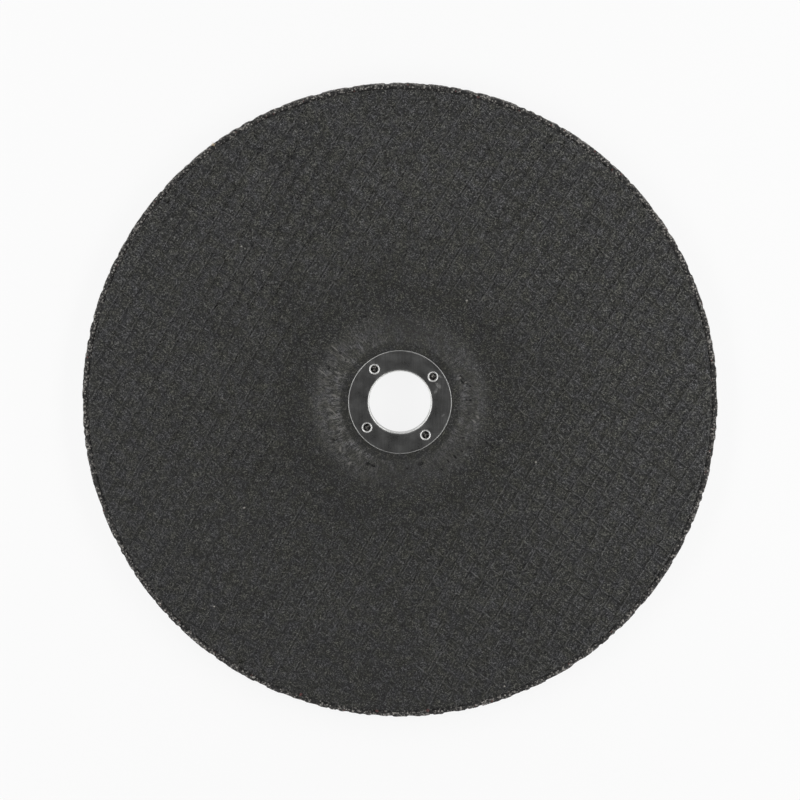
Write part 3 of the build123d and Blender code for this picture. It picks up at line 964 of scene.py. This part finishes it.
class DISC_OT_rim_bits(bpy.types.Operator):
    """Make the reddish chips that sit in the rim's groove and the loose tuft of glass fibre"""
    bl_idname = "disc.rim_bits"
    bl_label = "Rim Bits"

    def execute(self, context):
        chips = Shell()
        random = np.random.default_rng(CHIP_SEED)

        def crushed(angle, radius, height):
            """Each point of a chip moves in or out by up to 0.3 of its radius, and up or down by 0.08 mm."""
            return random.uniform(-0.3, 0.3, radius.shape) * radius, random.uniform(-0.08, 0.08, radius.shape)

        # each chip with its direction and distance from the axis, and its half width
        for turn, radius, width in ((251.4, 112.6, 0.62), (265.8, 113.1, 0.55), (275.1, 113.0, 0.6),
                                    (75.6, 113.4, 0.5), (287.0, 114.2, 0.4)):
            centre = radius * np.array([cos(radians(turn)), sin(radians(turn))])
            base = chips.ring(width * 0.8, FACE_Z - 0.4, 9, centre)
            chips.triangles.append(np.stack([np.repeat(base[:1], 7), base[2:], base[1:-1]], axis=-1))
            section = [(width, FACE_Z - 0.1), (width * 0.8, FACE_Z + 0.12), (width * 0.3, FACE_Z + 0.2)]
            top = chips.sweep(base, section, centre, relief=crushed)[-1]
            chips.cap(top, FACE_Z + 0.2, centre)
        material = chip_material(context.scene.disc_abrasive)
        chips.piece("reddish_grain_chips", None, "abrasive", material, sharp=20.0)

        # fibres that leave one place of the rim in their own directions, each with its length and its rise
        tuft = Shell()
        start = (WHEEL_RADIUS - 0.5) * np.array([cos(radians(126.1)), sin(radians(126.1))])
        for turn, reach, lift in ((20, 1.3, 0.5), (62, 1.1, 0.8), (95, 1.4, 0.3), (130, 0.9, 0.7),
                                  (-35, 0.9, 0.4), (175, 0.8, 0.6), (78, 0.7, 1.0)):
            # a fibre bundle: a tube that thins to its end and follows a parabola out of the rim
            along = np.linspace(0, 1, 6)[:, None]
            around = np.arange(6)[None, :] / 6 * 2 * pi
            out = np.array([cos(radians(turn)), sin(radians(turn))])
            side = np.array([-out[1], out[0]])
            thick = 0.13 * (1 - 0.7 * along)
            flat = start + out * reach * along + side * 0.25 * along ** 2
            plan = flat[:, None, :] + side * (thick * np.cos(around))[..., None]
            height = FACE_Z - 0.1 + lift * (along - 0.35 * along ** 2) + thick * np.sin(around)
            rows = tuft.add(np.concatenate([plan, height[..., None]], axis=-1))
            tuft.weave(rows[::-1])
            for end, order in ((rows[0], 1), (rows[-1], -1)):
                end = end[::order]
                tuft.triangles.append(np.stack([np.repeat(end[:1], 4), end[1:-1], end[2:]], axis=-1))
        material = fibre_material(context.scene.disc_ring)
        tuft.piece("loose_fibre_tuft", None, "facing", material, sharp=60.0)
        return {"FINISHED"}


# ---------------------------------------------------------------- studio

class DISC_OT_studio(bpy.types.Operator):
    """Make the floor, the soft lights, the plain world and the camera"""
    bl_idname = "disc.studio"
    bl_label = "Studio"

    def execute(self, context):
        settings = context.scene.disc_studio
        material = bpy.data.materials.new("white_studio_floor")
        node = bare_tree(material)
        paint = node("BsdfPrincipled", settings.floor[:], None, 0.9)
        # the camera, and what mirrors, see the floor as white, with the disc's shadow on it
        path = node("LightPath").outputs
        seen = node("Math", path["Is Camera Ray"], path["Is Glossy Ray"], operation="MAXIMUM")
        seen = node("Math", seen, path["Is Transmission Ray"], operation="MAXIMUM")
        seen = node("Math", seen, FLOOR_GLOW, operation="MULTIPLY")
        glow = node("Emission", (1, 1, 1, 1), 1.0)
        node("OutputMaterial", node("MixShader", seen, paint, glow))
        mesh = bpy.data.meshes.new("studio_floor")
        corners = [(x * FLOOR_REACH, y * FLOOR_REACH, 0) for x, y in ((-1, -1), (1, -1), (1, 1), (-1, 1))]
        mesh.from_pydata(corners, [], [(0, 1, 2, 3)])
        mesh.materials.append(material)
        floor = bpy.data.objects.new("studio_floor", mesh)
        context.scene.collection.objects.link(floor)
        for name, power, side in (("left_light", settings.left_light, -1),
                                  ("right_light", settings.right_light, 1)):
            light = bpy.data.lights.new(name, "AREA")
            light.energy = power
            light.shape = "RECTANGLE"
            light.size, light.size_y = LAMP_LENGTH, LAMP_WIDTH
            lamp = bpy.data.objects.new(name, light)
            lamp.location = (side * LAMP_OUT, LAMP_ALONG, LAMP_UP)
            lamp.rotation_euler = Vector((-side * LAMP_OUT, 0, -LAMP_UP)).to_track_quat("-Z", "Y").to_euler()
            context.scene.collection.objects.link(lamp)
        # a world that is dark overhead and white at the horizon: 0.07 + 1.7 (1 - height)3
        world = bpy.data.worlds.new("studio")
        context.scene.world = world
        node = bare_tree(world)
        up = node("SeparateXYZ", node("TexCoord").outputs["Generated"]).outputs["Z"]
        low = node("Math", node("MapRange", up, 0.0, 1.0, 1.0, 0.0), 3.0, operation="POWER")
        level = node("Math", node("Math", low, 1.7, operation="MULTIPLY"), 0.07, operation="ADD")
        node("OutputWorld", node("Background", (1, 1, 1, 1), level))
        lens = bpy.data.cameras.new("camera")
        lens.lens = LENS_PER_METRE * CAMERA_DISTANCE
        lens.clip_start = 0.05
        camera = bpy.data.objects.new("camera", lens)
        camera.location = Vector((0, sin(settings.tilt), cos(settings.tilt))) * CAMERA_DISTANCE
        camera.location += Vector((0, CAMERA_SHIFT * MM, FACE_Z * MM))
        camera.rotation_euler = (-settings.tilt, 0, 0)
        context.scene.collection.objects.link(camera)
        context.scene.camera = camera
        context.scene.view_settings.view_transform = "Standard"
        return {"FINISHED"}


class DISC_PT_panel(bpy.types.Panel):
    """The disc's pieces and settings in the sidebar"""
    bl_label = "Grinding Disc"
    bl_idname = "DISC_PT_panel"
    bl_space_type = "VIEW_3D"
    bl_region_type = "UI"
    bl_category = "Grinding Disc"

    def draw(self, context):
        for name, operators in GROUPS.items():
            box = self.layout.box()
            settings = getattr(context.scene, name)
            for field in settings.__annotations__:
                box.prop(settings, field)
            for operator in operators:
                box.operator(operator.bl_idname)


GROUPS = {
    "disc_net": [DISC_OT_net_facing],
    "disc_abrasive": [DISC_OT_abrasive_body],
    "disc_ring": [DISC_OT_centre_ring, DISC_OT_rim_bits],
    "disc_studio": [DISC_OT_studio],
}
SETTINGS = {
    "disc_net": DiscNetSettings,
    "disc_abrasive": DiscAbrasiveSettings,
    "disc_ring": DiscRingSettings,
    "disc_studio": DiscStudioSettings,
}
CLASSES = [*SETTINGS.values(), *sum(GROUPS.values(), []), DISC_PT_panel]


def register():
    for each in CLASSES:
        bpy.utils.register_class(each)
    for name, group in SETTINGS.items():
        setattr(bpy.types.Scene, name, PointerProperty(type=group))


def unregister():
    for name in SETTINGS:
        delattr(bpy.types.Scene, name)
    for each in reversed(CLASSES):
        bpy.utils.unregister_class(each)


def main():
    register()
    bpy.ops.disc.net_facing()
    bpy.ops.disc.abrasive_body()
    bpy.ops.disc.centre_ring()
    bpy.ops.disc.rim_bits()
    bpy.ops.disc.studio()


if __name__ == "__main__":
    main()
